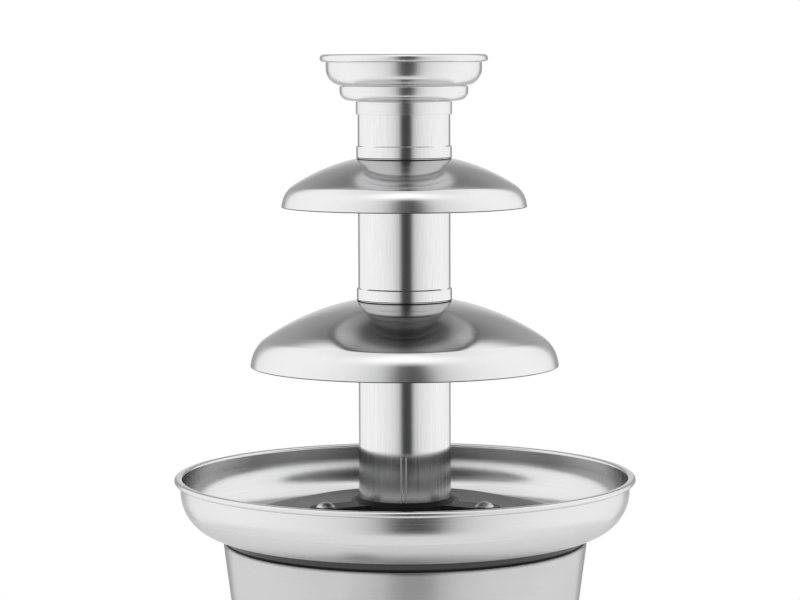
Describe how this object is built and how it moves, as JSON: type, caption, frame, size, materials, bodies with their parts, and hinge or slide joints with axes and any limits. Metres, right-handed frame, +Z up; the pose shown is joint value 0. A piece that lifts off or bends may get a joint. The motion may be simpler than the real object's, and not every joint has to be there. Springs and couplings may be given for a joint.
{
  "type": "chocolate fountain",
  "caption": "Tiered stainless steel chocolate fountain: tapered motor base, heated bowl with rolled rim, stacked tubes with domed tiers, stepped crown and lift-out auger.",
  "frame": {"origin": "middle of the footprint on the table, under the tower axis", "axes": "+Z up the tower axis, -Y towards the front with the controls, +X to the right seen from the front"},
  "size_m": [0.2702, 0.2702, 0.4057],
  "materials": {
    "base_steel": "horizontally brushed stainless steel",
    "bowl_steel": "satin spun stainless steel",
    "tube_steel": "fine drawn stainless steel",
    "dome_steel": "polished spun stainless steel",
    "auger_steel": "satin stainless steel",
    "hardware_steel": "plain steel hardware",
    "bracket_steel": "zinc plated sheet steel",
    "heater_sheath": "dark oxidised heater sheath",
    "motor_case": "painted motor can",
    "gearbox_alloy": "die cast",
    "gear_nylon": "natural nylon",
    "pinion_brass": "cut brass",
    "bush_bronze": "sintered bronze",
    "seal_rubber": "silicone",
    "black_rubber": "matt black rubber",
    "mount_black": "glossy black moulded plastic",
    "black_plastic": "fine textured black plastic",
    "pointer_white": "white inlay",
    "rocker_black": "glossy black rocker",
    "lamp_amber": "translucent amber lens",
    "control_brown": "phenolic",
    "terminal_white": "white nylon"
  },
  "bodies": {
    "base": {"base_shell": "base_steel", "bottom_cover": "black_plastic", "cover_screws": "hardware_steel", "rubber_feet": "black_rubber", "foot_screws": "hardware_steel", "tie_posts": "hardware_steel", "bowl": "bowl_steel", "bowl_gasket": "black_rubber", "bowl_studs": "hardware_steel", "clamp_nuts": "hardware_steel", "heating_ring": "heater_sheath", "heater_clamp": "bracket_steel", "thermal_cutout": "control_brown", "tower_mount": "mount_black", "mount_screws": "hardware_steel", "mount_nuts": "hardware_steel", "bracket_spacers": "hardware_steel", "motor_bracket": "bracket_steel", "gearbox_case": "gearbox_alloy", "gearbox_cover": "gearbox_alloy", "gearbox_screws": "hardware_steel", "motor": "motor_case", "idler_pin": "hardware_steel", "seal_carrier": "hardware_steel", "hub_nut": "hardware_steel", "shaft_bush": "bush_bronze", "shaft_seal": "seal_rubber", "control_panel": "black_plastic", "thermostat": "control_brown", "dial_nut": "hardware_steel", "switch_housing": "black_plastic", "pilot_lamp": "lamp_amber", "mains_inlet": "black_plastic", "inlet_pins": "hardware_steel", "terminal_block": "terminal_white"},
    "drive": {"output_shaft": "hardware_steel", "output_gear": "gear_nylon", "drive_dog": "hardware_steel"},
    "idler": {"idler_gear": "gear_nylon"},
    "rotor": {"motor_pinion": "pinion_brass"},
    "auger": {"auger_core": "auger_steel", "auger_flight": "auger_steel", "auger_tip": "auger_steel"},
    "lower_section": {"lower_tube": "tube_steel", "lower_dome": "dome_steel"},
    "middle_section": {"middle_tube": "tube_steel", "upper_dome": "dome_steel"},
    "top_section": {"top_tube": "tube_steel"},
    "crown": {"crown_cup": "dome_steel"},
    "dial": {"heat_knob": "black_plastic", "knob_pointer": "pointer_white", "dial_spindle": "hardware_steel"},
    "rocker": {"rocker_button": "rocker_black"}
  },
  "joints": [
    {"name": "drive_spin", "type": "hinge", "parent": "base", "child": "drive", "pos_m": [0, 0, 0.13], "axis": [0, 0, 1], "continuous": true},
    {"name": "idler_spin", "type": "hinge", "parent": "base", "child": "idler", "pos_m": [-0.02598, 0.015, 0.11], "axis": [0, 0, 1], "continuous": true},
    {"name": "motor_spin", "type": "hinge", "parent": "base", "child": "rotor", "pos_m": [-0.02598, -0.0106, 0.11], "axis": [0, 0, 1], "continuous": true},
    {"name": "auger_lift", "type": "slide", "parent": "drive", "child": "auger", "axis": [0, 0, 1], "range_m": [0, 0.26]},
    {"name": "lower_lift", "type": "slide", "parent": "base", "child": "lower_section", "axis": [0, 0, 1], "range_m": [0, 0.25]},
    {"name": "middle_lift", "type": "slide", "parent": "lower_section", "child": "middle_section", "axis": [0, 0, 1], "range_m": [0, 0.13]},
    {"name": "top_lift", "type": "slide", "parent": "middle_section", "child": "top_section", "axis": [0, 0, 1], "range_m": [0, 0.05]},
    {"name": "crown_lift", "type": "slide", "parent": "top_section", "child": "crown", "axis": [0, 0, 1], "range_m": [0, 0.03]},
    {"name": "dial_turn", "type": "hinge", "parent": "base", "child": "dial", "pos_m": [-0.03365, -0.09245, 0.056], "axis": [0.3393, 0.9323, 0.125], "range_deg": [0, 270]},
    {"name": "rocker_tip", "type": "hinge", "parent": "base", "child": "rocker", "pos_m": [0.03399, -0.09338, 0.05588], "axis": [-0.9397, -0.342, 0], "range_deg": [0, 14]}
  ],
  "couplings": [
    {"joint": "idler_spin", "follows": "drive_spin", "ratio": -3.2857},
    {"joint": "motor_spin", "follows": "drive_spin", "ratio": 11.735}
  ]
}
